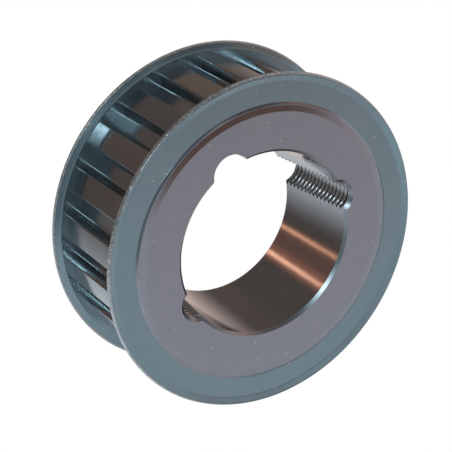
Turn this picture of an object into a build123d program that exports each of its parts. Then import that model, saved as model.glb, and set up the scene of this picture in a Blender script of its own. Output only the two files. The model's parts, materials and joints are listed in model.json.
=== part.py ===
"""Flanged timing belt pulley, bored for a taper bush.

A turned and hobbed cast iron body carries twenty trapezoidal belt grooves. Two pressed
steel flanges sit on spigots at its ends, each trapped by a lip rolled out of the body.
The bore narrows from the front face to the rear and has three half-holes: two tapped
ones that pull the bush in, and a plain blind one that a jacking screw pushes against.
The frame stands on the rear flange, with +Z along the axis towards the front face.
"""
from build123d import *
import math
import os

os.makedirs("parts", exist_ok=True)

# Belt grooves, for a 12.7 mm pitch belt that is 25.4 mm wide
teeth = 20
belt_pitch = 12.7
pitch_line_height = 0.686
groove_depth = 3.05
groove_bottom_width = 4.19
groove_flank_angle = 20.0
groove_root_radius = 0.9
tooth_tip_radius = 0.5
tooth_length = 26.7

# Pressed flanges
flange_height_over_teeth = 3.76
flange_thickness = 1.4
flange_flare_width = 2.1
flange_flare_angle = 28.0
flange_bend_radius = 2.0
flange_edge_break = 0.3
flange_bore_clearance = 0.05

# Spigots and rolled lips
spigot_depth_under_grooves = 1.19
lip_overlap = 0.55
lip_edge_break = 0.25
roller_track_width = 2.1
roller_track_drop = 0.25

# Hub and taper bore
hub_length = 25.4
hub_face_drop = 0.1
bore_mouth_radius = 23.71
bore_taper_angle = 4.0
bore_front_chamfer = 0.7
bore_rear_chamfer = 0.8

# Rear recess round the hub
recess_radius = 30.5
recess_edge_chamfer = 0.6

# Half-holes at the bore, 3/8 inch screws on a 1 3/4 inch circle
screw_circle_radius = 22.225
tapped_hole_radius = 4.763
tapped_hole_angles = [133.4, 302.7]
plain_hole_radius = 5.16
plain_hole_angle = 38.05
plain_hole_depth = 19.0
screw_mouth_chamfer = 0.15
drill_point_angle = 118.0

# Sizes that follow from the ones above
pitch_radius = teeth * belt_pitch / (2 * math.pi)
tip_radius = pitch_radius - pitch_line_height
root_radius = tip_radius - groove_depth
spigot_radius = root_radius - spigot_depth_under_grooves
flange_radius = tip_radius + flange_height_over_teeth
flange_crease_radius = flange_radius - flange_flare_width
flare_sine = math.sin(math.radians(flange_flare_angle))
flare_cosine = math.cos(math.radians(flange_flare_angle))
edge_break_loss = flange_edge_break * flare_sine
flare_outer_radius = flange_radius + edge_break_loss
flare_run = flare_outer_radius - flange_thickness * flare_sine - flange_crease_radius
flare_sharp_rise = flare_run * math.tan(math.radians(flange_flare_angle))
flare_rise = flare_sharp_rise - edge_break_loss
overall_length = tooth_length + 2 * (flange_thickness + flare_rise)
rear_shoulder_z = flange_thickness + flare_rise
front_shoulder_z = rear_shoulder_z + tooth_length
front_flange_face_z = front_shoulder_z + flange_thickness
rear_flange_face_z = rear_shoulder_z - flange_thickness
hub_front_z = overall_length - hub_face_drop
hub_rear_z = hub_front_z - hub_length
lip_radius = spigot_radius + lip_overlap
track_inner_radius = lip_radius - lip_edge_break - roller_track_width


def bore_radius(z):
    """Radius of the taper bore at a height."""
    return bore_mouth_radius - (hub_front_z - z) * math.tan(math.radians(bore_taper_angle))


def spigot_end(flange_face_z, face_z):
    """Points of one spigot, from its shoulder out over the rolled lip to the flat face."""
    outward = 1 if face_z > flange_face_z else -1
    lip_crown_z = face_z - outward * roller_track_drop
    shoulder_z = flange_face_z - outward * flange_thickness
    return [
        (spigot_radius, shoulder_z),
        (spigot_radius, flange_face_z),
        (lip_radius, flange_face_z),
        (lip_radius, lip_crown_z - outward * lip_edge_break),
        (lip_radius - lip_edge_break, lip_crown_z),
        (track_inner_radius, face_z),
    ]


def half_section():
    """Turned half-section of the body, drawn in the XZ plane."""
    rear_face_z = overall_length - hub_front_z
    front = spigot_end(front_flange_face_z, hub_front_z)
    rear = spigot_end(rear_flange_face_z, rear_face_z)
    bore_front_z = hub_front_z - bore_front_chamfer
    bore_rear_z = hub_rear_z + bore_rear_chamfer
    points = [(tip_radius, rear_shoulder_z), (tip_radius, front_shoulder_z)]
    points += front
    points += [
        (bore_mouth_radius + bore_front_chamfer, hub_front_z),
        (bore_radius(bore_front_z), bore_front_z),
        (bore_radius(bore_rear_z), bore_rear_z),
        (bore_radius(hub_rear_z) + bore_rear_chamfer, hub_rear_z),
        (recess_radius, hub_rear_z),
        (recess_radius, rear_face_z + recess_edge_chamfer),
        (recess_radius + recess_edge_chamfer, rear_face_z),
    ]
    points += reversed(rear)
    return make_face(Polyline([(radius, 0, z) for radius, z in points], close=True))


def groove_section():
    """One belt groove in the XY plane, open past the tooth tips, with rounded root corners."""
    overshoot = tooth_tip_radius + 1
    half_bottom = groove_bottom_width / 2
    widening = (groove_depth + overshoot) * math.tan(math.radians(groove_flank_angle))
    outer = tip_radius + overshoot
    groove = make_face(Polyline(
        (root_radius, -half_bottom),
        (outer, -half_bottom - widening),
        (outer, half_bottom + widening),
        (root_radius, half_bottom),
        close=True,
    ))
    root_corners = groove.vertices().group_by(Axis.X)[0]
    return fillet(root_corners, groove_root_radius)


def toothed_section():
    """Cross-section of the toothed rim, with every tooth tip rounded."""
    grooves = PolarLocations(0, teeth) * groove_section()
    section = Circle(tip_radius) - grooves
    tips = [v for v in section.vertices() if math.hypot(v.X, v.Y) > tip_radius - 0.01]
    return fillet(tips, tooth_tip_radius)


def screw_hole(angle, radius, bottom_z, point):
    """Drill for one half-hole, straight down from the front face, with a mouth chamfer."""
    place = Pos(
        screw_circle_radius * math.cos(math.radians(angle)),
        screw_circle_radius * math.sin(math.radians(angle)),
        0,
    )
    top_z = hub_front_z + 1
    mouth = radius + screw_mouth_chamfer
    outline = Polyline(
        (0, 0, top_z),
        (mouth, 0, top_z),
        (mouth, 0, hub_front_z),
        (radius, 0, hub_front_z - screw_mouth_chamfer),
        (radius, 0, bottom_z),
        (0, 0, bottom_z - point),
        close=True,
    )
    return place * revolve(make_face(outline), Axis.Z)


def pulley_body():
    """Toothed rim, spigots, taper bore and half-holes in one iron body."""
    body = revolve(half_section(), Axis.Z) & extrude(toothed_section(), overall_length)
    for angle in tapped_hole_angles:
        body -= screw_hole(angle, tapped_hole_radius, hub_rear_z - 1, point=0)
    plain_hole_floor = hub_front_z - plain_hole_depth
    drill_point = plain_hole_radius / math.tan(math.radians(drill_point_angle / 2))
    return body - screw_hole(plain_hole_angle, plain_hole_radius, plain_hole_floor, drill_point)


def flange():
    """Pressed ring with a flared rim, its belt side on the XY plane and its flare upwards."""
    bore = spigot_radius + flange_bore_clearance
    bend = flange_thickness * math.tan(math.radians(flange_flare_angle / 2))
    rim = flange_crease_radius + flare_run
    crest = flange_thickness + flare_sharp_rise
    outline = Polyline(
        (bore, 0, 0),
        (flange_crease_radius + bend, 0, 0),
        (flare_outer_radius, 0, crest - flange_thickness * flare_cosine),
        (rim, 0, crest),
        (flange_crease_radius, 0, flange_thickness),
        (bore, 0, flange_thickness),
        close=True,
    )
    section = make_face(outline)
    belt_side_bend = Vector(flange_crease_radius + bend, 0, 0)
    section = fillet(section.vertices().sort_by_distance(belt_side_bend)[0], flange_bend_radius)
    rim_corners = section.vertices().sort_by(Axis.X)[-2:]
    return revolve(chamfer(rim_corners, flange_edge_break), Axis.Z)


def place_front_flange():
    """Front flange on its shoulder."""
    return Pos(0, 0, front_shoulder_z) * flange()


def place_rear_flange():
    """Rear flange, turned over onto its own shoulder."""
    return Pos(0, 0, rear_shoulder_z) * Rot(180, 0, 0) * flange()


pieces = {
    "pulley_body": pulley_body(),
    "front_flange": place_front_flange(),
    "rear_flange": place_rear_flange(),
}
for name, piece in pieces.items():
    export_step(piece, f"parts/{name}.step")
    print(name, round(piece.volume, 1))
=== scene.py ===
"""Looks of the flanged timing belt pulley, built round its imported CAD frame.

Every size is in millimetres in the classes and becomes metres where a mesh is made.
The frame stands on the rear flange, with +Z along the axis towards the front face.
"""

import json
import logging
import math
from dataclasses import dataclass, field
from enum import Enum

import bmesh
import bpy
import numpy as np
from bpy.types import ID, Material, Mesh, Node, NodeSocket, NodeTree, Object, World
from mathutils import Matrix

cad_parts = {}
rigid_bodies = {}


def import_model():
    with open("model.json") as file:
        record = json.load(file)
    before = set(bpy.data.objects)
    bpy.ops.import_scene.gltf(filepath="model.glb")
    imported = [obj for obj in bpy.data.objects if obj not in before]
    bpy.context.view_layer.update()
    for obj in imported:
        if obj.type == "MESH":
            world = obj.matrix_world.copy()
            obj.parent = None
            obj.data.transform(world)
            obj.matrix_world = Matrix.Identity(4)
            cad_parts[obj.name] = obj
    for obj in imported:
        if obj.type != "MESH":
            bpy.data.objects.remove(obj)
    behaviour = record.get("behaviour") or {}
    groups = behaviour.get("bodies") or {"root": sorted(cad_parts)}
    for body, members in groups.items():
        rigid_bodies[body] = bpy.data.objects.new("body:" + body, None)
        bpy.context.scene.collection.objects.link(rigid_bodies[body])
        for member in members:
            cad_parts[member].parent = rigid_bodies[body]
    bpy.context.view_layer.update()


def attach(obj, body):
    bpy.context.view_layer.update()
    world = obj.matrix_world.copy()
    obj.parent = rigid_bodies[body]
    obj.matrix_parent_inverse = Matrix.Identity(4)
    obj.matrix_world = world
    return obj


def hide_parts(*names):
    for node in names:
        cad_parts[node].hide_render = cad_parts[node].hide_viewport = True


LOG = logging.getLogger("pulley")
MM = 0.001
MERGE_GAP = 2e-7
SECTOR_GAP = 2e-6
SEAM_GAP = 3e-6
ARC_STEPS = 5
TINY = 1e-4
FULL_WEIGHT = 90
BARE_METAL = (0.62, 0.63, 0.64)

Pair = tuple[float, float]
Point = tuple[float, float]
Spot = tuple[float, float, float]
Colour = tuple[float, float, float]
Value = float | tuple | NodeSocket


class Zone(Enum):
    """Kinds of surface on the iron body, in the order of its material slots."""

    TURNED_FACE = 0
    ROLLED_LIP = 1
    HOBBED_TEETH = 2
    REAMED_BORE = 3
    CUT_THREAD = 4
    MOUTH_CHAMFER = 5
    # THREAD_ROOT carries painted shade: its finish is near black to stand in for the shade in the
    # thread's root.
    THREAD_ROOT = 6


class HoleKind(Enum):
    """How a half-hole is finished."""

    TAPPED = "tapped"
    PLAIN = "plain"


class Side(Enum):
    """End of the pulley that a flange closes, with the direction of its flare."""

    FRONT = 1
    REAR = -1


def polar(radius: float, angle: float) -> Point:
    """Point at a radius and an angle in degrees."""
    turn = math.radians(angle)
    return radius * math.cos(turn), radius * math.sin(turn)


def bearing(spot: Point | Spot) -> float:
    """Angle of a point round the axis, in degrees."""
    return math.degrees(math.atan2(spot[1], spot[0]))


def rounded(points: list[Point], radii: list[float]) -> list[Point]:
    """Rounds the inner corners of an open outline.

    Args:
        points: corners of the outline, in order.
        radii: one radius for each corner; zero leaves it sharp, and the ends are not rounded.

    Returns:
        The outline with an arc at each rounded corner.
    """
    result = [points[0]]
    for before, corner, after, radius in zip(points, points[1:], points[2:], radii[1:]):
        back, ahead = np.subtract(before, corner), np.subtract(after, corner)
        back, ahead = back / np.linalg.norm(back), ahead / np.linalg.norm(ahead)
        half = math.acos(float(np.clip(back @ ahead, -1, 1))) / 2
        if radius <= 0 or math.pi / 2 - half < TINY:
            result.append(corner)
            continue
        middle = (back + ahead) / np.linalg.norm(back + ahead)
        centre = np.array(corner) + middle * radius / math.sin(half)
        x, y = np.array(corner) + back * radius / math.tan(half) - centre
        sweep = math.copysign(math.pi - 2 * half, back[1] * ahead[0] - back[0] * ahead[1])
        for step in range(ARC_STEPS + 1):
            cosine, sine = polar(1.0, math.degrees(sweep) * step / ARC_STEPS)
            result.append((float(centre[0] + x * cosine - y * sine),
                           float(centre[1] + x * sine + y * cosine)))
    result.append(points[-1])
    return result


@dataclass
class Shell:
    """A mesh under construction: its points in millimetres, and its faces with their zones."""

    spots: list[Spot] = field(default_factory=list)
    faces: list[tuple[int, ...]] = field(default_factory=list)
    zones: list[int] = field(default_factory=list)

    def chain(self, spots: list[Spot]) -> list[int]:
        """Adds a run of points.

        Args:
            spots: the points, in order.

        Returns:
            The numbers of the points, in the same order.
        """
        first = len(self.spots)
        self.spots += spots
        return list(range(first, first + len(spots)))

    def grid(self, rows: list[list[int]], zones: Zone | list[Zone],
             closed: bool = False) -> None:
        """Joins neighbouring rows of equal length with four-sided faces.

        Args:
            rows: point numbers, row by row.
            zones: one kind of surface, or one for each step along a row.
            closed: whether each row is a ring.
        """
        count = len(rows[0]) if closed else len(rows[0]) - 1
        along = zones if isinstance(zones, list) else [zones] * count
        for low, high in zip(rows, rows[1:]):
            for i, zone in enumerate(along):
                j = (i + 1) % len(low)
                self.faces.append((low[i], low[j], high[j], high[i]))
                self.zones.append(zone.value)

    def zip(self, low: list[int], high: list[int], at_low: list[float],
            at_high: list[float], zone: Zone) -> None:
        """Joins two runs of different length with triangles.

        Args:
            low: point numbers of one run.
            high: point numbers of the other run.
            at_low: rising place of each point of the first run.
            at_high: rising place of each point of the second run.
            zone: kind of surface.
        """
        i, j = 0, 0
        while i < len(low) - 1 or j < len(high) - 1:
            step_low = j == len(high) - 1 or (
                i < len(low) - 1 and at_low[i + 1] <= at_high[j + 1])
            if step_low:
                self.faces.append((low[i], low[i + 1], high[j]))
                i += 1
            else:
                self.faces.append((low[i], high[j + 1], high[j]))
                j += 1
            self.zones.append(zone.value)

    def spin(self, outline: list[Point], columns: int, zones: list[Zone],
             closed: bool = False) -> None:
        """Turns an outline round the axis.

        Args:
            outline: points of the outline, as (radius, z).
            columns: number of steps round the axis.
            zones: one zone for each stretch between neighbouring points.
            closed: whether the outline ends where it starts.
        """
        angles = [360 * i / columns for i in range(columns)]
        rows = [
            self.chain([(*polar(radius, angle), z) for angle in angles])
            for radius, z in outline
        ]
        if closed:
            rows.append(rows[0])
        for low, high, zone in zip(rows, rows[1:], zones):
            self.grid([low, high], zone, closed=True)

    def raw_mesh(self, name: str) -> Mesh:
        """Makes a Blender mesh in metres.

        Args:
            name: name of the mesh.

        Returns:
            The mesh, with nothing merged or turned.
        """
        mesh = bpy.data.meshes.new(name)
        mesh.from_pydata([(x * MM, y * MM, z * MM) for x, y, z in self.spots], [], self.faces)
        mesh.polygons.foreach_set("material_index", self.zones)
        return mesh

    def mesh(self, name: str) -> Mesh:
        """Makes a clean Blender mesh in metres.

        Args:
            name: name of the mesh.

        Returns:
            The mesh, with its doubled points merged and its faces outward.
        """
        mesh = self.raw_mesh(name)
        work = bmesh.new()
        work.from_mesh(mesh)
        clean(work)
        work.to_mesh(mesh)
        work.free()
        return mesh


def clean(work: bmesh.types.BMesh) -> None:
    """Merges doubled points, drops faces without area and turns the rest outward.

    Args:
        work: mesh to clean, changed in place.
    """
    bmesh.ops.remove_doubles(work, verts=work.verts, dist=MERGE_GAP)
    bmesh.ops.dissolve_degenerate(work, edges=work.edges, dist=MERGE_GAP)
    loose = [vertex for vertex in work.verts if not vertex.link_faces]
    bmesh.ops.delete(work, geom=loose, context="VERTS")
    bmesh.ops.recalc_face_normals(work, faces=work.faces)


def placed(name: str, data: ID) -> Object:
    """Links a new object to the scene.

    Args:
        name: name of the object.
        data: its mesh, lamp or camera.

    Returns:
        The object, unturned at the origin.
    """
    obj = bpy.data.objects.new(name, data)
    bpy.context.scene.collection.objects.link(obj)
    return obj


def shaded(mesh: Mesh, name: str, angle: float) -> Object:
    """Places a mesh, smooth apart from steep edges, the borders of its zones and flat faces.

    Args:
        mesh: mesh to shade.
        name: name of the object.
        angle: degrees between two faces from which their edge stays sharp.

    Returns:
        The object, whose flat faces keep flat shading beside small roundings.
    """
    work = bmesh.new()
    work.from_mesh(mesh)
    limit = math.radians(angle)
    for face in work.faces:
        face.smooth = True
    for edge in work.edges:
        if len(edge.link_faces) == 2:
            one, other = edge.link_faces
            border = one.material_index != other.material_index
            edge.smooth = not border and edge.calc_face_angle(0) < limit
    work.to_mesh(mesh)
    work.free()
    obj = placed(name, mesh)
    weigh = obj.modifiers.new("weigh", "WEIGHTED_NORMAL")
    weigh.keep_sharp = True
    weigh.weight = FULL_WEIGHT
    return flattened(obj)


def flattened(obj: Object) -> Object:
    """Replaces an object's mesh by its evaluated one and drops its modifiers.

    Args:
        obj: object with modifiers.

    Returns:
        The same object.
    """
    graph = bpy.context.evaluated_depsgraph_get()
    mesh = bpy.data.meshes.new_from_object(obj.evaluated_get(graph), depsgraph=graph)
    mesh.name = obj.name
    obj.modifiers.clear()
    obj.data = mesh
    return obj


@dataclass
class Nodes:
    """Small helper that places and joins the nodes of one material or tree."""

    tree: NodeTree

    def add(self, kind: str, settings: dict | None = None, places: dict | None = None,
            **inputs: Value) -> Node:
        """Adds a node.

        Args:
            kind: Blender's name of the node type.
            settings: properties of the node.
            places: value or output socket for the sockets that are known by their place.
            **inputs: the same for sockets known by name, with _ for a space.

        Returns:
            The new node.
        """
        node = self.tree.nodes.new(kind)
        for key, value in (settings or {}).items():
            setattr(node, key, value)
        for place, value in (places or {}).items():
            self.put(node.inputs[place], value)
        for key, value in inputs.items():
            self.put(node.inputs[key.replace("_", " ")], value)
        return node

    def put(self, socket: NodeSocket, value: Value) -> None:
        """Joins an output to a socket, or sets the socket's value.

        Args:
            socket: input to fill.
            value: output socket of another node, or a plain value.
        """
        if isinstance(value, NodeSocket):
            self.tree.links.new(value, socket)
        elif socket.type == "RGBA" and len(value) == 3:
            socket.default_value = (*value, 1)
        else:
            socket.default_value = value

    def math(self, operation: str, one: Value, two: Value = 0.0) -> NodeSocket:
        """Works out one operation on two numbers."""
        return self.add("ShaderNodeMath", {"operation": operation}, {0: one, 1: two}).outputs[0]

    def blend(self, factor: Value, one: Value, two: Value) -> NodeSocket:
        """Mixes two colours."""
        return self.add("ShaderNodeMix", {"data_type": "RGBA"},
                        {0: factor, 6: one, 7: two}).outputs[2]

    def span(self, value: Value, low: float, high: float, start: float = 0.0,
             end: float = 1.0) -> NodeSocket:
        """Maps a number from one range to another, clamped."""
        return self.add("ShaderNodeMapRange", Value=value, From_Min=low, From_Max=high,
                        To_Min=start, To_Max=end).outputs["Result"]

    def noise(self, place: NodeSocket, scale: float, detail: float,
              roughness: float = 0.5) -> NodeSocket:
        """Cloudy pattern between 0 and 1."""
        return self.add("ShaderNodeTexNoise", Vector=place, Scale=scale, Detail=detail,
                        Roughness=roughness).outputs["Fac"]


def node_space(owner: Material | World) -> Nodes:
    """Turns on the nodes of a material or a world, and empties its tree.

    Args:
        owner: the material or world.

    Returns:
        Its empty tree, ready for nodes.
    """
    owner.use_nodes = True
    owner.node_tree.nodes.clear()
    return Nodes(owner.node_tree)


@dataclass(frozen=True)
class Finish:
    """A worked metal surface: its colour, gloss, mottling, scratches and wear.

    Sizes of patterns are in cells for each millimetre.
    """

    name: str
    colour: Colour
    second_colour: Colour
    roughness: float
    metallic: float = 1.0
    mottle_scale: float = 0.3
    mottle_detail: float = 4.0
    mottle_roughness: float = 0.6
    mottle_range: Pair = (0.35, 0.65)
    mottle_amount: float = 0.5
    grain_scale: float = 6.0
    grain_detail: float = 3.0
    grain_roughness: float = 0.7
    grain_range: Pair = (0.3, 0.7)
    grain_height: float = 0.006
    rings_per_mm: float = 0.0
    ring_height: float = 0.0
    speck_scale: float = 0.0
    speck_share: float = 0.7
    speck_edge: Pair = (0.05, 0.085)
    speck_depth: float = 0.02
    worn_from: float = 0.0
    worn_width: float = 0.25
    worn_roughness: float = 0.26
    worn_range: Pair = (0.38, 0.56)
    least_worn: float = 0.55
    scuff_scale: float = 1.6
    scuff_detail: float = 2.0
    chip_scale: float = 1.5
    chip_detail: float = 1.0
    chip_height: float = 0.28
    roughness_spread: float = 0.06
    stretch: Spot = (1.0, 1.0, 1.0)

    def material(self) -> Material:
        """Builds the procedural material.

        Returns:
            The material, with every pattern on Object coordinates.
        """
        material = bpy.data.materials.new(self.name)
        n = node_space(material)
        place = n.add("ShaderNodeTexCoord").outputs["Object"]
        in_mm = n.add("ShaderNodeMapping", Vector=place,
                      Scale=tuple(1 / MM * s for s in self.stretch)).outputs[0]
        mottle = n.noise(in_mm, self.mottle_scale, self.mottle_detail, self.mottle_roughness)
        spread = n.span(mottle, *self.mottle_range, 0.0, self.mottle_amount)
        colour = n.blend(spread, self.colour, self.second_colour)
        grain = n.noise(in_mm, self.grain_scale, self.grain_detail, self.grain_roughness)
        height = n.math("MULTIPLY", grain, self.grain_height)
        if self.rings_per_mm:
            height = n.math("ADD", height, self.rings(n, place))
        half = self.roughness_spread / 2
        rough = n.span(grain, *self.grain_range, self.roughness - half, self.roughness + half)
        if self.speck_scale:
            speck = self.specks(n, place)
            colour = n.blend(speck, colour, BARE_METAL)
            height = n.math("SUBTRACT", height, n.math("MULTIPLY", speck, self.speck_depth))
        if self.worn_from:
            worn = self.wear(n, place, mottle)
            colour = n.blend(worn, colour, BARE_METAL)
            step = n.math("MULTIPLY", worn, self.worn_roughness - self.roughness)
            rough = n.math("ADD", rough, step)
            chips = n.noise(place, self.chip_scale / MM, self.chip_detail)
            chipped = n.math("MULTIPLY", n.math("MULTIPLY", worn, chips), self.chip_height)
            height = n.math("ADD", height, chipped)
        bump = n.add("ShaderNodeBump", Strength=1.0, Distance=MM, Height=height).outputs[0]
        shader = n.add("ShaderNodeBsdfPrincipled", Base_Color=colour, Roughness=rough,
                       Metallic=self.metallic, Normal=bump)
        n.add("ShaderNodeOutputMaterial", Surface=shader.outputs[0])
        return material

    def radius(self, n: Nodes, place: NodeSocket) -> NodeSocket:
        """Distance from the axis, in metres."""
        x, y, _ = n.add("ShaderNodeSeparateXYZ", Vector=place).outputs
        return n.math("SQRT", n.math("ADD", n.math("MULTIPLY", x, x), n.math("MULTIPLY", y, y)))

    def rings(self, n: Nodes, place: NodeSocket) -> NodeSocket:
        """Height of the fine circles that the lathe tool left round the axis.

        Args:
            n: nodes of the material.
            place: Object coordinates, in metres.

        Returns:
            The height, in millimetres.
        """
        height = n.add("ShaderNodeSeparateXYZ", Vector=place).outputs[2]
        along = n.math("ADD", self.radius(n, place), height)
        turns = n.math("MULTIPLY", along, self.rings_per_mm * 2 * math.pi / MM)
        return n.math("MULTIPLY", n.math("SINE", turns), self.ring_height)

    def specks(self, n: Nodes, place: NodeSocket) -> NodeSocket:
        """Scattered small bright nicks, as a mask.

        Args:
            n: nodes of the material.
            place: Object coordinates, in metres.

        Returns:
            1 in a nick, 0 beside it.
        """
        cells = n.add("ShaderNodeTexVoronoi", Vector=place, Scale=self.speck_scale / MM)
        tone = n.add("ShaderNodeSeparateColor", Color=cells.outputs["Color"]).outputs[0]
        chosen = n.math("LESS_THAN", tone, self.speck_share)
        near = n.span(cells.outputs["Distance"], *self.speck_edge, 1.0, 0.0)
        return n.math("MULTIPLY", chosen, near)

    def wear(self, n: Nodes, place: NodeSocket, mottle: NodeSocket) -> NodeSocket:
        """Bare metal where handling rubbed the outer rim, as a broken mask.

        Args:
            n: nodes of the material.
            place: Object coordinates, in metres.
            mottle: cloudy pattern of the finish, which breaks up the wear.

        Returns:
            Up to 1 on bare metal, 0 where nothing is rubbed.
        """
        reach = n.span(self.radius(n, place), self.worn_from * MM,
                       (self.worn_from + self.worn_width) * MM)
        scuff = n.noise(place, self.scuff_scale / MM, self.scuff_detail)
        patchy = n.math("ADD", n.math("MULTIPLY", mottle, 0.5), n.math("MULTIPLY", scuff, 0.5))
        return n.math("MULTIPLY", reach, n.span(patchy, *self.worn_range, self.least_worn, 1.0))


@dataclass(frozen=True)
class Finishes:
    """Every finish of the pulley: one for each Zone, by its name, and the flanges'."""

    turned_face: Finish = Finish(
        "phosphated_turned_face", (0.375, 0.425, 0.50), (0.415, 0.455, 0.525), 0.32,
        mottle_scale=0.35, grain_scale=5.0, grain_height=0.008, speck_scale=0.25,
        rings_per_mm=3.0, ring_height=0.0015)
    rolled_lip: Finish = Finish(
        "burnished_rolled_lip", (0.335, 0.385, 0.445), (0.41, 0.455, 0.52), 0.16,
        grain_height=0.004)
    hobbed_teeth: Finish = Finish(
        "phosphated_hobbed_teeth", (0.34, 0.335, 0.34), (0.40, 0.38, 0.38), 0.16,
        grain_scale=2.0, grain_height=0.0012, grain_detail=0.5, rings_per_mm=2.6,
        ring_height=0.0008, stretch=(0.1, 0.1, 1.0))
    reamed_bore: Finish = Finish(
        "reamed_taper_bore", (0.35, 0.34, 0.35), (0.40, 0.38, 0.39), 0.13,
        grain_height=0.002, rings_per_mm=4.0, ring_height=0.001)
    cut_thread: Finish = Finish(
        "cut_thread_crest", (0.42, 0.43, 0.44), (0.52, 0.53, 0.54), 0.17,
        mottle_scale=1.0)
    # Painted shade: the thread's root is coloured near black to stand in for the shade that falls
    # deep between the thread's ridges.
    thread_root: Finish = Finish(
        "oiled_thread_root", (0.07, 0.075, 0.08), (0.14, 0.11, 0.10), 0.30,
        mottle_scale=0.8)
    mouth_chamfer: Finish = Finish(
        "bright_mouth_chamfer", (0.365, 0.40, 0.435), (0.44, 0.48, 0.52), 0.30,
        mottle_scale=0.25, grain_height=0.003)
    flange: Finish = Finish(
        "zinc_plated_flange", (0.265, 0.395, 0.455), (0.305, 0.435, 0.50), 0.20,
        metallic=0.85, mottle_scale=0.2, grain_scale=4.0, grain_height=0.003,
        speck_scale=0.3, worn_from=42.95)

    def body_slots(self) -> list[Material]:
        """Materials of the iron body, in the order of Zone."""
        return [getattr(self, zone.name.lower()).material() for zone in Zone]


@dataclass(frozen=True)
class ToothForm:
    """The belt groove, as the hob cuts it."""

    teeth: int = 20
    belt_pitch: float = 12.7
    pitch_line_height: float = 0.686
    depth: float = 3.05
    bottom_width: float = 4.19
    flank_angle: float = 20.0
    root_radius: float = 0.9
    tip_rounding: float = 0.5
    flank_crown: float = 0.16
    flank_steps: int = 6
    land_steps: int = 3

    @property
    def tip_radius(self) -> float:
        """Radius over the lands."""
        return self.teeth * self.belt_pitch / (2 * math.pi) - self.pitch_line_height

    @property
    def bottom_radius(self) -> float:
        """Distance of the groove's flat bottom from the axis."""
        return self.tip_radius - self.depth

    @property
    def sector(self) -> float:
        """Degrees from one groove to the next."""
        return 360 / self.teeth

    def half_outline(self) -> list[Point]:
        """Outline from the middle of a groove on +X to the middle of the next land.

        Returns:
            Points of the outline, as (x, y).
        """
        slope = math.radians(self.flank_angle)
        along = np.array([math.cos(slope), math.sin(slope)])
        across = np.array([-math.sin(slope), math.cos(slope)])
        corner = np.array([self.bottom_radius, self.bottom_width / 2])
        reach = self.tip_radius - self.tip_rounding
        base = corner + across * self.tip_rounding
        middle = float(base @ along)
        travel = -middle + math.sqrt(middle ** 2 - float(base @ base) + reach ** 2)
        tip_centre = base + along * travel
        root_drop = self.root_radius * (1 - math.sin(slope)) / math.cos(slope)
        root_centre = np.array([corner[0] + self.root_radius, corner[1] - root_drop])
        outline = [(self.bottom_radius, 0.0)]
        outline += self.arc(root_centre, self.root_radius, 180, 90 + self.flank_angle)
        land_start = bearing(tip_centre)
        tip = self.arc(tip_centre, self.tip_rounding, self.flank_angle - 90, land_start)
        foot, head = np.array(outline[-1]), np.array(tip[0])
        for step in range(1, self.flank_steps):
            share = step / self.flank_steps
            bulge = 4 * self.flank_crown * share * (1 - share)
            outline.append(tuple(foot + (head - foot) * share - across * bulge))
        outline += tip
        land = np.linspace(land_start, self.sector / 2, self.land_steps + 1)[1:]
        return outline + [polar(self.tip_radius, angle) for angle in land]

    def arc(self, centre: np.ndarray, radius: float, start: float, end: float) -> list[Point]:
        """Points of an arc.

        Args:
            centre: centre of the arc.
            radius: radius of the arc.
            start: angle of the first point, in degrees.
            end: angle of the last point, in degrees.

        Returns:
            The points, in order.
        """
        return [
            tuple(centre + polar(radius, start + (end - start) * step / ARC_STEPS))
            for step in range(ARC_STEPS + 1)
        ]


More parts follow.
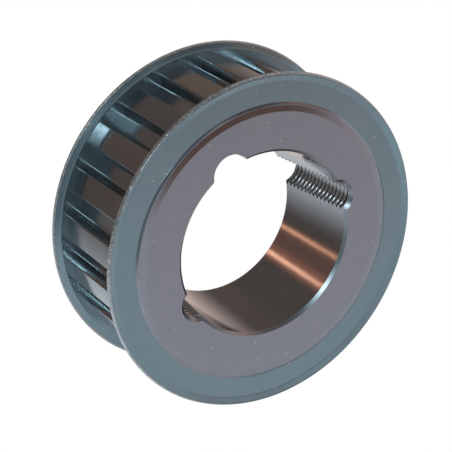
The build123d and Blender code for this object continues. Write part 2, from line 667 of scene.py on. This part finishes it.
@dataclass(frozen=True)
class ToothedRim:
    """Twenty teeth between the flange shoulders, each one a copy of one sector."""

    form: ToothForm
    rear_z: float
    front_z: float
    spigot_radius: float
    columns: int
    rows: int = 5

    def sector_mesh(self) -> Mesh:
        """One sector: the groove's wall and its share of both shoulders.

        Returns:
            The mesh of the sector, with its groove on +X.
        """
        shell = Shell()
        half_outline = self.form.half_outline()
        outline = [(x, -y) for x, y in reversed(half_outline[1:])] + half_outline
        rows = [
            shell.chain([(x, y, z) for x, y in outline])
            for z in np.linspace(self.rear_z, self.front_z, self.rows)
        ]
        shell.grid(rows, Zone.HOBBED_TEETH)
        at_wall = [bearing(spot) for spot in outline]
        steps = self.columns // self.form.teeth
        half = self.form.sector / 2
        at_ring = [-half + self.form.sector * i / steps for i in range(steps + 1)]
        for row, z in ((rows[0], self.rear_z), (rows[-1], self.front_z)):
            ring = shell.chain([(*polar(self.spigot_radius, angle), z) for angle in at_ring])
            shell.zip(row, ring, at_wall, at_ring, Zone.HOBBED_TEETH)
        return shell.raw_mesh("tooth_sector")

    def tree(self) -> NodeTree:
        """Geometry tree that sets copies of the sector round the axis.

        Returns:
            The tree; its inputs are the sector, the number of teeth and the gap to merge.
        """
        tree = bpy.data.node_groups.new("teeth_round_axis", "GeometryNodeTree")
        for label, way, kind in (("Sector", "INPUT", "Object"), ("Teeth", "INPUT", "Int"),
                                 ("Gap", "INPUT", "Float"), ("Geometry", "OUTPUT", "Geometry")):
            tree.interface.new_socket(label, in_out=way, socket_type=f"NodeSocket{kind}")
        n = Nodes(tree)
        given = n.add("NodeGroupInput")
        sector = n.add("GeometryNodeObjectInfo", Object=given.outputs["Sector"])
        points = n.add("GeometryNodePoints", Count=given.outputs["Teeth"])
        step = n.math("DIVIDE", 2 * math.pi, given.outputs["Teeth"])
        turn = n.math("MULTIPLY", n.add("GeometryNodeInputIndex").outputs[0], step)
        angles = n.add("ShaderNodeCombineXYZ", Z=turn)
        turned = n.add("FunctionNodeEulerToRotation", Euler=angles.outputs[0])
        copies = n.add("GeometryNodeInstanceOnPoints", Points=points.outputs[0],
                       Instance=sector.outputs["Geometry"], Rotation=turned.outputs[0])
        real = n.add("GeometryNodeRealizeInstances", Geometry=copies.outputs[0])
        joined = n.add("GeometryNodeMergeByDistance", Geometry=real.outputs[0],
                       Distance=given.outputs["Gap"])
        n.add("NodeGroupOutput", Geometry=joined.outputs[0])
        return tree

    def mesh(self) -> Mesh:
        """All the teeth as one plain mesh, open at the spigots.

        Returns:
            The mesh, ready to be joined to the turned shell.
        """
        sector = placed("tooth_sector", self.sector_mesh())
        rim = placed("toothed_rim", bpy.data.meshes.new("toothed_rim"))
        modifier = rim.modifiers.new("teeth", "NODES")
        modifier.node_group = self.tree()
        given = {"Sector": sector, "Teeth": self.form.teeth, "Gap": SECTOR_GAP}
        for item in modifier.node_group.interface.items_tree:
            if item.in_out == "INPUT":
                modifier[item.identifier] = given[item.name]
        mesh = flattened(rim).data
        bpy.data.objects.remove(rim)
        bpy.data.objects.remove(sector)
        mesh.polygons.foreach_set(
            "material_index", [Zone.HOBBED_TEETH.value] * len(mesh.polygons))
        return mesh


@dataclass(frozen=True)
class TaperBore:
    """Tapered hole through the hub, with a chamfer at each end."""

    front_z: float
    rear_z: float
    mouth_radius: float = 23.71
    taper_angle: float = 4.0
    front_chamfer: float = 0.7
    rear_chamfer: float = 0.8

    def cone(self, z: float) -> float:
        """Radius of the plain taper at a height."""
        return self.mouth_radius - (self.front_z - z) * math.tan(math.radians(self.taper_angle))

    @property
    def front_break(self) -> float:
        """Height where the front chamfer ends."""
        return self.front_z - self.front_chamfer

    @property
    def rear_break(self) -> float:
        """Height where the rear chamfer ends."""
        return self.rear_z + self.rear_chamfer

    @property
    def levels(self) -> list[float]:
        """Heights of the front face, the two chamfer edges and the rear face, downward."""
        return [self.front_z, self.front_break, self.rear_break, self.rear_z]

    def radius(self, z: float) -> float:
        """Radius at a height, chamfers included."""
        radii = (self.cone(self.rear_z) + self.rear_chamfer, self.cone(self.rear_break),
                 self.cone(self.front_break), self.mouth_radius + self.front_chamfer)
        return float(np.interp(z, self.levels[::-1], radii))

    def spot(self, angle: float, z: float) -> Spot:
        """Point of the wall at an angle in degrees and a height."""
        return (*polar(self.radius(z), angle), z)


@dataclass(frozen=True)
class HalfHole:
    """Hole drilled half in the hub and half in the bush, parallel to the axis."""

    bore: TaperBore
    angle: float
    kind: HoleKind
    circle_radius: float = 22.225
    radius: float = 4.763
    mouth_chamfer: float = 0.15
    depth: float = 19.0
    point_angle: float = 118.0
    thread_pitch: float = 1.5875
    thread_depth: float = 0.8
    root_share: float = 0.45
    mouth_slack: float = 0.08
    lean_start: float = 0.2
    lean_turns: float = 1.5
    plain_turns: float = 1.6
    rows_per_turn: int = 20
    end_gaps: Pair = (0.1, 0.05)
    wall_rows: int = 16
    point_rows: int = 10
    search_steps: int = 12
    search_gain: float = 0.6
    columns: int = 28
    thread_profile: tuple[Point, ...] = (
        (0.0, 0.0), (0.06, 0.02), (0.11, 0.12), (0.33, 0.90), (0.38, 1.0), (0.5, 1.0),
        (0.62, 1.0), (0.67, 0.90), (0.89, 0.12), (0.94, 0.02), (1.0, 0.0))

    def ridge(self, z: float, psi: float) -> float:
        """Height of the thread over its root.

        Args:
            z: height in the pulley.
            psi: angle round the hole, in radians.

        Returns:
            The height of the thread there, zero at its root.
        """
        turn = ((z - self.bore.rear_z) / self.thread_pitch - psi / (2 * math.pi)) % 1.0
        places, heights = zip(*self.thread_profile)
        return float(np.interp(turn, places, heights)) * self.thread_depth

    def wall(self, z: float, psi: float) -> float:
        """Distance of the wall from the hole's own axis.

        Args:
            z: height in the pulley.
            psi: angle round the hole, in radians.

        Returns:
            The distance, with thread, mouth chamfer and drill point taken in.
        """
        below = self.bore.front_z - z
        mouth = self.radius + self.mouth_chamfer - below
        if self.kind is HoleKind.TAPPED:
            return max(self.radius - self.ridge(z, psi), mouth)
        beyond = below - self.depth
        if beyond > 0:
            return self.radius - beyond * math.tan(math.radians(self.point_angle / 2))
        return max(self.radius, mouth)

    def wall_zone(self, spots: list[Spot]) -> Zone:
        """Zone of one face of the hole's wall.

        Args:
            spots: corners of the face.

        Returns:
            The kind of surface.
        """
        if self.kind is HoleKind.PLAIN:
            return Zone.REAMED_BORE
        x, y = polar(self.circle_radius, self.angle)
        deep = float(np.mean([math.hypot(spot[0] - x, spot[1] - y) for spot in spots]))
        below = self.bore.front_z - float(np.mean([spot[2] for spot in spots]))
        if deep + below < self.radius + self.mouth_chamfer + self.mouth_slack:
            return Zone.MOUTH_CHAMFER
        # Faces deep in the thread's root get the near-black root finish, which is painted shade
        # in the hollows between the ridges.
        in_root = deep > self.radius - self.root_share * self.thread_depth
        return Zone.THREAD_ROOT if in_root else Zone.CUT_THREAD

    def lean(self, base_z: float, psi: float) -> float:
        """Lets a row follow the thread, and lie flat near the ends of the hole.

        Args:
            base_z: height of the row at its middle.
            psi: angle round the hole, in radians.

        Returns:
            The height of the row there.
        """
        if self.kind is HoleKind.PLAIN:
            return base_z
        nearest = min(self.bore.front_break - base_z, base_z - self.bore.rear_break)
        weight = (nearest - self.lean_start) / (self.lean_turns * self.thread_pitch)
        return base_z + min(max(weight, 0.0), 1.0) * self.thread_pitch * psi / (2 * math.pi)

    def edge(self, base_z: float, side: int) -> float:
        """Finds where a row meets the bore.

        Args:
            base_z: height of the row.
            side: -1 or 1, for the two edges of the hole.

        Returns:
            The angle round the hole, in radians.
        """
        psi = side * math.pi / 2
        for _ in range(self.search_steps):
            z = self.lean(base_z, psi)
            wall = self.wall(z, psi)
            cosine = (self.bore.radius(z) ** 2 - self.circle_radius ** 2 - wall ** 2) / (
                2 * self.circle_radius * max(wall, TINY))
            target = side * math.acos(min(max(cosine, -1.0), 1.0))
            psi += self.search_gain * (target - psi)
        return target

    @property
    def tip_z(self) -> float:
        """Height where the drill point of a plain hole runs out of the bore wall."""
        floor = self.bore.front_z - self.depth
        cone = math.tan(math.radians(self.point_angle / 2))
        taper = math.tan(math.radians(self.bore.taper_angle))
        return floor - (self.circle_radius + self.radius - self.bore.cone(floor)) / (cone - taper)

    def row_heights(self) -> list[float]:
        """Heights of the rows, from the front face down.

        Returns:
            The height of each row at its middle.
        """
        bore = self.bore
        top = [bore.front_z, bore.front_z - self.mouth_chamfer, bore.front_break]
        if self.kind is HoleKind.PLAIN:
            floor = bore.front_z - self.depth
            wall = np.linspace(bore.front_break, floor, self.wall_rows)[1:]
            return [*top, *wall, *np.linspace(floor, self.tip_z, self.point_rows)[1:]]
        pitch, first, last = self.thread_pitch, bore.front_break, bore.rear_break
        plain, step = self.plain_turns * pitch, -pitch / self.rows_per_turn
        front_gap, rear_gap = self.end_gaps
        heights = list(np.arange(first - front_gap, first - plain, step))
        for turn in range(math.floor((first - plain - bore.rear_z) / pitch) + 1):
            heights += [bore.rear_z + pitch * (turn + at) for at, _ in self.thread_profile[:-1]]
        heights = [z for z in heights if z > last + plain]
        heights += list(np.arange(last + plain, last + rear_gap, step))
        heights = sorted({round(z, 5) for z in heights if last < z < first}, reverse=True)
        return top + heights + [last, (last + bore.rear_z) / 2, bore.rear_z]

    def rows(self) -> list[list[Spot]]:
        """Points of the hole's wall, row by row from the front face down.

        Returns:
            The rows, each from one edge of the hole to the other.
        """
        ux, uy = polar(1.0, self.angle)
        result = []
        for base_z in self.row_heights():
            row = []
            for psi in np.linspace(self.edge(base_z, -1), self.edge(base_z, 1),
                                   self.columns + 1):
                z = self.lean(base_z, float(psi))
                wall = max(self.wall(z, float(psi)), 0.0)
                out = self.circle_radius + wall * math.cos(psi)
                across = wall * math.sin(psi)
                row.append((out * ux - across * uy, out * uy + across * ux, z))
            result.append(row)
        return result


@dataclass(frozen=True)
class BoreWall:
    """The whole inner wall of the hub: the taper, its chamfers and three half-holes."""

    bore: TaperBore
    holes: tuple[HalfHole, ...]
    margin: float = 13.6
    tapped_steps: int = 3
    plain_steps: int = 9
    point_rows: int = 6
    column_step: float = 1.25
    wall_rows: int = 9

    def zones(self, heights: list[float]) -> list[Zone]:
        """Zones of the bore's own wall between neighbouring heights.

        Args:
            heights: heights down the bore.

        Returns:
            One zone for each stretch between two heights.
        """
        result = []
        for one, other in zip(heights, heights[1:]):
            plain = self.bore.rear_break <= (one + other) / 2 <= self.bore.front_break
            result.append(Zone.REAMED_BORE if plain else Zone.MOUTH_CHAMFER)
        return result

    def strip(self, shell: Shell, hole: HalfHole, side: int,
              edge: list[int]) -> tuple[list[list[int]], list[float]]:
        """Wall between one edge of a half-hole and a straight line down the bore.

        Args:
            shell: mesh under construction.
            hole: the half-hole.
            side: -1 or 1, for its two edges.
            edge: point numbers of that edge, from the front face down.

        Returns:
            The strip's lines of point numbers down the bore, from the edge on, and the
            heights of their points.
        """
        places = []
        for number in edge:
            turn = bearing(shell.spots[number]) - hole.angle
            places.append(((turn + 180) % 360 - 180, shell.spots[number][2]))
        first, steps = edge, self.tapped_steps
        if hole.kind is HoleKind.PLAIN:
            below = np.linspace(hole.tip_z, self.bore.rear_break, self.point_rows)
            below = [*below[1:], self.bore.rear_z]
            places += [(0.0, z) for z in below]
            first = edge + shell.chain([self.bore.spot(hole.angle, z) for z in below])
            steps = self.plain_steps
        lines = [first]
        for step in range(1, steps + 1):
            share = step / steps
            lines.append(shell.chain([
                self.bore.spot(hole.angle + (turn + (side * self.margin - turn) * share), z)
                for turn, z in places]))
        heights = [z for _, z in places]
        shell.grid(lines, self.zones(heights))
        return lines, heights

    def join_lines(self, shell: Shell, *lines: tuple[list[int], list[float]]) -> None:
        """Joins two lines down the bore, keeping both chamfer edges whole.

        Args:
            shell: mesh under construction.
            *lines: the two lines, each as its point numbers and their heights.
        """
        cuts = self.bore.levels
        for top, bottom, zone in zip(cuts, cuts[1:], self.zones(cuts)):
            picked = []
            for line, heights in lines:
                keep = [i for i, z in enumerate(heights) if bottom - TINY <= z <= top + TINY]
                picked.append(([line[i] for i in keep], [-heights[i] for i in keep]))
            (low, at_low), (high, at_high) = picked
            shell.zip(low, high, at_low, at_high, zone)

    def build(self, shell: Shell) -> tuple[list[int], list[int]]:
        """Adds the wall to a mesh.

        Args:
            shell: mesh under construction.

        Returns:
            The point numbers round the front mouth and round the rear mouth, in any order.
        """
        order = sorted(self.holes, key=lambda hole: hole.angle)
        front, rear, strips = [], [], []
        for hole in order:
            rows = [shell.chain(row) for row in hole.rows()]
            start = len(shell.faces)
            shell.grid(rows, Zone.REAMED_BORE)
            for i in range(start, len(shell.faces)):
                spots = [shell.spots[number] for number in shell.faces[i]]
                shell.zones[i] = hole.wall_zone(spots).value
            front += rows[0]
            if hole.kind is HoleKind.TAPPED:
                rear += rows[-1]
            strips.append((self.strip(shell, hole, -1, [row[0] for row in rows]),
                           self.strip(shell, hole, 1, [row[-1] for row in rows])))
        wall = np.linspace(self.bore.front_break, self.bore.rear_break, self.wall_rows)
        coarse = [self.bore.front_z, *wall, self.bore.rear_z]
        for number, hole in enumerate(order):
            following = (number + 1) % len(order)
            start = hole.angle + self.margin
            width = (order[following].angle - self.margin - start) % 360
            count = max(2, round(width / self.column_step))
            lines = [
                shell.chain([self.bore.spot(start + width * i / count, z) for z in coarse])
                for i in range(1, count)
            ]
            shell.grid(lines, self.zones(coarse))
            (left, _), (right, at_right) = strips[number]
            next_left, at_next = strips[following][0]
            self.join_lines(shell, (right[-1], at_right), (lines[0], coarse))
            self.join_lines(shell, (lines[-1], coarse), (next_left[-1], at_next))
            for line in left + right + lines:
                front.append(line[0])
                rear.append(line[-1])
        return front, rear


@dataclass(frozen=True)
class IronBody:
    """Toothed rim, spigots with rolled lips, hub faces and bore in one iron casting."""

    form: ToothForm = ToothForm()
    tooth_length: float = 26.7
    flange_thickness: float = 1.4
    flare_rise: float = 0.7012
    spigot_depth: float = 1.19
    lip_overlap: float = 0.55
    lip_slope_width: float = 0.68
    lip_edge_height: float = 0.05
    track_reach: float = 2.2
    track_drop: float = 0.19
    hub_length: float = 25.4
    hub_face_drop: float = 0.1
    recess_radius: float = 30.5
    recess_chamfer: float = 0.6
    plain_hole_angle: float = 38.05
    plain_hole_radius: float = 5.16
    tapped_hole_angles: Pair = (133.4, 302.7)
    crown_radius: float = 0.5
    lip_rounding: float = 0.04
    front_rings: tuple[float, ...] = (27.5, 30.5)
    rear_rings: tuple[float, ...] = (27.0,)
    crease_angle: float = 38.0
    columns: int = 360

    @property
    def overall_length(self) -> float:
        """Length over both flanges."""
        return self.tooth_length + 2 * (self.flange_thickness + self.flare_rise)

    @property
    def rear_shoulder_z(self) -> float:
        """Height of the rear ends of the teeth."""
        return self.flange_thickness + self.flare_rise

    @property
    def front_shoulder_z(self) -> float:
        """Height of the front ends of the teeth."""
        return self.rear_shoulder_z + self.tooth_length

    @property
    def spigot_radius(self) -> float:
        """Radius that the flanges sit on."""
        return self.form.bottom_radius - self.spigot_depth

    @property
    def front_z(self) -> float:
        """Height of the front hub face."""
        return self.overall_length - self.hub_face_drop

    @property
    def hub_rear_z(self) -> float:
        """Height of the hub's rear face, at the bottom of the recess."""
        return self.front_z - self.hub_length

    def spigot(self, side: Side) -> list[Point]:
        """Outline of one spigot, from its shoulder over the rolled lip to the flat face.

        Args:
            side: end of the pulley.

        Returns:
            Points of the outline, as (radius, z).
        """
        out = side.value
        front = side is Side.FRONT
        shoulder = self.front_shoulder_z if front else self.rear_shoulder_z
        face = self.front_z if front else self.overall_length - self.front_z
        flange_face = shoulder + out * self.flange_thickness
        crown = face - out * self.track_drop
        lip = self.spigot_radius + self.lip_overlap
        points = [
            (self.spigot_radius, shoulder), (self.spigot_radius, flange_face),
            (lip, flange_face), (lip, flange_face + out * self.lip_edge_height),
            (lip - self.lip_slope_width, crown), (lip - self.track_reach, face),
        ]
        return rounded(points, [0, 0, 0, self.lip_rounding, self.crown_radius, 0])

    def bore_wall(self) -> BoreWall:
        """The taper bore with its three half-holes.

        Returns:
            The wall, sized from the body.
        """
        bore = TaperBore(self.front_z, self.hub_rear_z)
        holes = [HalfHole(bore, angle, HoleKind.TAPPED) for angle in self.tapped_hole_angles]
        holes.append(HalfHole(bore, self.plain_hole_angle, HoleKind.PLAIN,
                              radius=self.plain_hole_radius))
        return BoreWall(bore, tuple(holes))

    def flat_face(self, shell: Shell, mouth: list[int], z: float, radii: list[float]) -> None:
        """Closes a flat face between the bore's mouth and a circle.

        Args:
            shell: mesh under construction.
            mouth: point numbers round the mouth.
            z: height of the face.
            radii: radii of the rings from the mouth outward.
        """
        turns = {number: bearing(shell.spots[number]) % 360 for number in mouth}
        inner = sorted(turns, key=lambda number: turns[number])
        at_inner = sorted(turns.values())
        angles = [360 * i / self.columns for i in range(self.columns)]
        rings = [shell.chain([(*polar(radius, a), z) for a in angles]) for radius in radii]
        shell.grid(rings, Zone.TURNED_FACE, closed=True)
        low, at_low = inner + [inner[0]], at_inner + [at_inner[0] + 360]
        high, at_high = rings[0] + [rings[0][0]], angles + [360.0]
        shell.zip(low, high, at_low, at_high, Zone.TURNED_FACE)

    def turned_shell(self) -> Shell:
        """Everything but the teeth.

        Returns:
            Spigots, lips, faces, recess and bore in one shell, open where the teeth go.
        """
        shell = Shell()
        front = self.spigot(Side.FRONT)
        rear = self.spigot(Side.REAR)
        lips = [Zone.ROLLED_LIP] * (len(front) - 1)
        lips[0] = Zone.TURNED_FACE
        shell.spin(front, self.columns, lips)
        mouth_front, mouth_rear = self.bore_wall().build(shell)
        track_inner = front[-1][0]
        self.flat_face(shell, mouth_front, self.front_z, [*self.front_rings, track_inner])
        rear_face = self.overall_length - self.front_z
        outline = rear + [
            (self.recess_radius + self.recess_chamfer, rear_face),
            (self.recess_radius, rear_face + self.recess_chamfer),
            (self.recess_radius, self.hub_rear_z),
        ]
        shell.spin(outline, self.columns, lips + [Zone.TURNED_FACE] * 3)
        self.flat_face(shell, mouth_rear, self.hub_rear_z,
                       [*self.rear_rings, self.recess_radius])
        return shell

    def build(self, finishes: Finishes) -> Object:
        """Makes the dressed body.

        Args:
            finishes: finishes of the pulley.

        Returns:
            The finished object.
        """
        rim = ToothedRim(self.form, self.rear_shoulder_z, self.front_shoulder_z,
                         self.spigot_radius, self.columns)
        work = bmesh.new()
        work.from_mesh(self.turned_shell().mesh("turned_shell"))
        work.from_mesh(rim.mesh())
        bmesh.ops.remove_doubles(work, verts=work.verts, dist=SEAM_GAP)
        clean(work)
        open_edges = sum(1 for edge in work.edges if len(edge.link_faces) != 2)
        mesh = bpy.data.meshes.new("iron_body")
        work.to_mesh(mesh)
        work.free()
        LOG.info("iron body: %d faces, %d open edges", len(mesh.polygons), open_edges)
        for material in finishes.body_slots():
            mesh.materials.append(material)
        return shaded(mesh, "iron_body", self.crease_angle)


@dataclass(frozen=True)
class PressedFlange:
    """Pressed steel ring with a flared rim."""

    side: Side
    shoulder_z: float
    tip_radius: float
    spigot_radius: float
    height_over_teeth: float = 3.76
    thickness: float = 1.4
    flare_width: float = 2.1
    flare_angle: float = 28.0
    bend_radius: float = 1.0
    edge_break: float = 0.3
    bore_clearance: float = 0.05
    bore_roundings: Pair = (0.1, 0.12)
    crease_radius: float = 0.45
    crease_angle: float = 40.0
    longest_step: float = 3.0
    columns: int = 360

    def outline(self) -> list[Point]:
        """Outline of the ring, round from its bore.

        Returns:
            Points as (radius, distance from the shoulder); the last one joins the first.
        """
        slope = math.radians(self.flare_angle)
        sine, cosine = math.sin(slope), math.cos(slope)
        bore = self.spigot_radius + self.bore_clearance
        radius = self.tip_radius + self.height_over_teeth
        bend_at = radius - self.flare_width
        outer = radius + self.edge_break * sine
        run = outer - self.thickness * sine - bend_at
        crest = self.thickness + run * math.tan(slope)
        belt_bend = bend_at + self.thickness * math.tan(slope / 2)
        points = [
            (bore, self.thickness / 2), (bore, 0.0), (belt_bend, 0.0),
            (outer, crest - self.thickness * cosine), (bend_at + run, crest),
            (bend_at, self.thickness), (bore, self.thickness), (bore, self.thickness / 2)]
        rim = self.edge_break * sine / (sine + cosine - 1)
        belt_side, outside = self.bore_roundings
        radii = [0, belt_side, self.bend_radius, rim, rim, self.crease_radius, outside, 0]
        return rounded(points, radii)[:-1]

    def build(self, name: str, finishes: Finishes) -> Object:
        """Makes the dressed flange.

        Args:
            name: name of the piece.
            finishes: finishes of the pulley.

        Returns:
            The finished object.
        """
        out = self.side.value
        outline = [(radius, self.shoulder_z + out * z) for radius, z in self.outline()]
        dense = []
        for one, other in zip(outline, outline[1:] + outline[:1]):
            cuts = max(1, math.ceil(math.dist(one, other) / self.longest_step))
            dense += [tuple(np.add(one, np.subtract(other, one) * i / cuts)) for i in range(cuts)]
        shell = Shell()
        shell.spin(dense, self.columns, [Zone.TURNED_FACE] * len(dense), closed=True)
        mesh = shell.mesh(name)
        mesh.materials.append(finishes.flange.material())
        LOG.info("%s: %d faces", name, len(mesh.polygons))
        return shaded(mesh, name, self.crease_angle)


@dataclass(frozen=True)
class Patch:
    """A round part of the surroundings, lighter or darker than the rest, with a soft border."""

    towards: Spot
    inner: float
    outer: float
    colour: Colour

    def lay(self, n: Nodes, way: NodeSocket, under: Value) -> NodeSocket:
        """Lays the patch over what is there.

        Args:
            n: nodes of the surroundings.
            way: direction from the pulley.
            under: colour of the surroundings so far.

        Returns:
            The colour with the patch laid over it.
        """
        middle = tuple(part / math.hypot(*self.towards) for part in self.towards)
        dot = n.add("ShaderNodeVectorMath", {"operation": "DOT_PRODUCT"}, {0: way, 1: middle})
        edge = n.add("ShaderNodeMapRange", {"interpolation_type": "SMOOTHSTEP"},
                     Value=dot.outputs["Value"],
                     From_Min=math.cos(math.radians(self.outer)),
                     From_Max=math.cos(math.radians(self.inner)))
        return n.blend(edge.outputs["Result"], under, self.colour)


@dataclass(frozen=True)
class Studio:
    """Pale floor, soft light from all round, a lamp by the camera, and the camera.

    Directions are from the pulley: +Z up its axis, the camera near (0.28, 0.55, 0.79).
    """

    floor_side: float = 6.0
    camera_place: Spot = (0.119544, 0.237066, 0.351083)
    camera_right: Spot = (0.185736, -0.835043, 0.517885)
    camera_up: Spot = (0.941294, 0.0, -0.337589)
    camera_back: Spot = (0.281902, 0.550184, 0.786021)
    lens: float = 135.168
    sensor_width: float = 36.0
    nearest: float = 0.01
    lamp_over_lens: float = 0.035
    lamp_radius: float = 0.018
    lamp_power: float = 0.108
    lamp_colour: Colour = (0.88, 0.97, 1.0)
    tent: Colour = (0.575, 0.545, 0.55)
    tent_patches: tuple[Patch, ...] = (
        Patch((0, -0.6, 0.8), 12, 18, (0.58, 0.47, 0.46)),
        Patch((-0.45, -0.89, 0), 8, 28, (0.66, 0.62, 0.61)),
        Patch((-0.78, 0.15, 0.6), 12, 30, (0.61, 0.61, 0.63)),
        Patch((0.58, -0.66, 0.47), 11, 20, (0.36, 0.23, 0.19)),
        Patch((-0.8, -0.45, 0.38), 12, 30, (0.54, 0.48, 0.48)),
        Patch((0.06, -0.42, 0.905), 12.5, 20.5, (0.205, 0.108, 0.085)),
        Patch((0.55, 0.75, 0.37), 51, 56.5, (0.13, 0.13, 0.135)),
        Patch((0.41, 0.61, 0.67), 6, 19, (1, 1.42, 1.52)),
        Patch((-0.59, 0.62, 0.52), 8, 20, (0.54, 0.6, 0.66)),
        Patch((0.75, -0.22, 0.62), 16, 23.5, (0.14, 0.11, 0.105)),
        Patch((-0.22, 0.58, 0.78), 12, 22, (0.18, 0.2, 0.21)),
        Patch((-0.95, 0.25, 0.2), 12, 25, (0.28, 0.28, 0.31)),
        Patch((0.7, -0.65, 0.29), 3, 9, (1, 0.56, 0.45)),
        Patch((0.38, -0.92, 0.03), 5, 14, (0.19, 0.17, 0.16)),
    )
    table_edge: Pair = (-0.32, -0.14)
    table: Colour = (0.15, 0.13, 0.12)
    table_patches: tuple[Patch, ...] = (
        Patch((-0.966, -0.259, 0), 36, 89, (0.9, 1.06, 1.14)),
        Patch((-0.29, -0.957, 0), 41, 79, (0.87, 0.71, 0.65)),
        Patch((0.5, -0.17, -0.84), 5, 18, (0.24, 0.19, 0.15)),
        Patch((0.192, 0.715, -0.673), 2, 9, (0.26, 0.15, 0.12)),
        Patch((0.381, 0.634, -0.673), 1, 10, (0.55, 0.25, 0.16)),
        Patch((-0.01, 0.74, -0.673), 1, 8, (0.34, 0.175, 0.125)),
        Patch((0.395, 0.608, -0.688), 0.2, 2.9, (6, 3.4, 2.3)),
        Patch((-0.042, 0.724, -0.688), 0.2, 2.8, (3.9, 2.05, 1.25)),
    )

    def build_floor(self) -> Object:
        """Pale floor under the pulley, evenly lit.

        Returns:
            The floor, which the metal doesn't mirror.
        """
        half = self.floor_side / 2
        mesh = bpy.data.meshes.new("studio_floor")
        mesh.from_pydata([(-half, -half, 0), (half, -half, 0), (half, half, 0), (-half, half, 0)],
                         [], [(0, 1, 2, 3)])
        material = bpy.data.materials.new("pale_floor")
        n = node_space(material)
        lit = n.add("ShaderNodeEmission", Color=(1.0, 1.0, 1.0), Strength=1.0)
        n.add("ShaderNodeOutputMaterial", Surface=lit.outputs[0])
        mesh.materials.append(material)
        floor = placed("studio_floor", mesh)
        floor.visible_glossy = False
        floor.visible_diffuse = False
        floor.visible_shadow = False
        return floor

    def build_room(self) -> None:
        """Surroundings that the metal mirrors, pale where the camera looks past the floor."""
        world = bpy.data.worlds.new("studio_room")
        n = node_space(world)
        way = n.add("ShaderNodeTexCoord").outputs["Generated"]
        above, below = self.tent, self.table
        for patch in self.tent_patches:
            above = patch.lay(n, way, above)
        for patch in self.table_patches:
            below = patch.lay(n, way, below)
        height = n.add("ShaderNodeSeparateXYZ", Vector=way).outputs[2]
        colour = n.blend(n.span(height, *self.table_edge), below, above)
        seen = n.add("ShaderNodeLightPath").outputs["Is Camera Ray"]
        colour = n.blend(seen, colour, (1.0, 1.0, 1.0))
        room = n.add("ShaderNodeBackground", Color=colour, Strength=1.0)
        n.add("ShaderNodeOutputWorld", Surface=room.outputs[0])
        bpy.context.scene.world = world

    def build_camera(self) -> None:
        """Camera at the photograph's viewing angle."""
        data = bpy.data.cameras.new("studio_camera")
        data.lens = self.lens
        data.sensor_width = self.sensor_width
        data.clip_start = self.nearest
        camera = placed("studio_camera", data)
        camera.matrix_world = Matrix.Translation(self.camera_place) @ self.camera_turn()
        bpy.context.scene.camera = camera

    def build_lamp(self) -> None:
        """Small lamp just over the lens, turned to the pulley as the camera is."""
        data = bpy.data.lights.new("lamp_over_lens", "AREA")
        data.shape = "DISK"
        data.size = 2 * self.lamp_radius
        data.energy = self.lamp_power
        data.color = self.lamp_colour
        lamp = placed("lamp_over_lens", data)
        place = np.array(self.camera_place) + self.lamp_over_lens * np.array(self.camera_up)
        lamp.matrix_world = Matrix.Translation(place.tolist()) @ self.camera_turn()
        lamp.visible_camera = False

    def camera_turn(self) -> Matrix:
        """Turn of the camera, from its three axes."""
        axes = np.array([self.camera_right, self.camera_up, self.camera_back]).T
        return Matrix(axes.tolist()).to_4x4()

    def build(self) -> None:
        """Sets up the whole studio."""
        self.build_floor()
        self.build_room()
        self.build_lamp()
        self.build_camera()
        view = bpy.context.scene.view_settings
        view.view_transform = "Standard"
        view.look = "None"


def main() -> None:
    """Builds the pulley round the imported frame, then the studio."""
    logging.basicConfig(level=logging.INFO, format="%(name)s: %(message)s")
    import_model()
    finishes = Finishes()

    iron = IronBody()
    body = iron.build(finishes)
    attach(body, "root")
    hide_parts("pulley_body")

    for side, shoulder_z in ((Side.FRONT, iron.front_shoulder_z),
                             (Side.REAR, iron.rear_shoulder_z)):
        node = f"{side.name.lower()}_flange"
        pressed = PressedFlange(side, shoulder_z, iron.form.tip_radius, iron.spigot_radius)
        flange = pressed.build(f"pressed_{node}", finishes)
        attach(flange, "root")
        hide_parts(node)

    Studio().build()


if __name__ == "__main__":
    main()
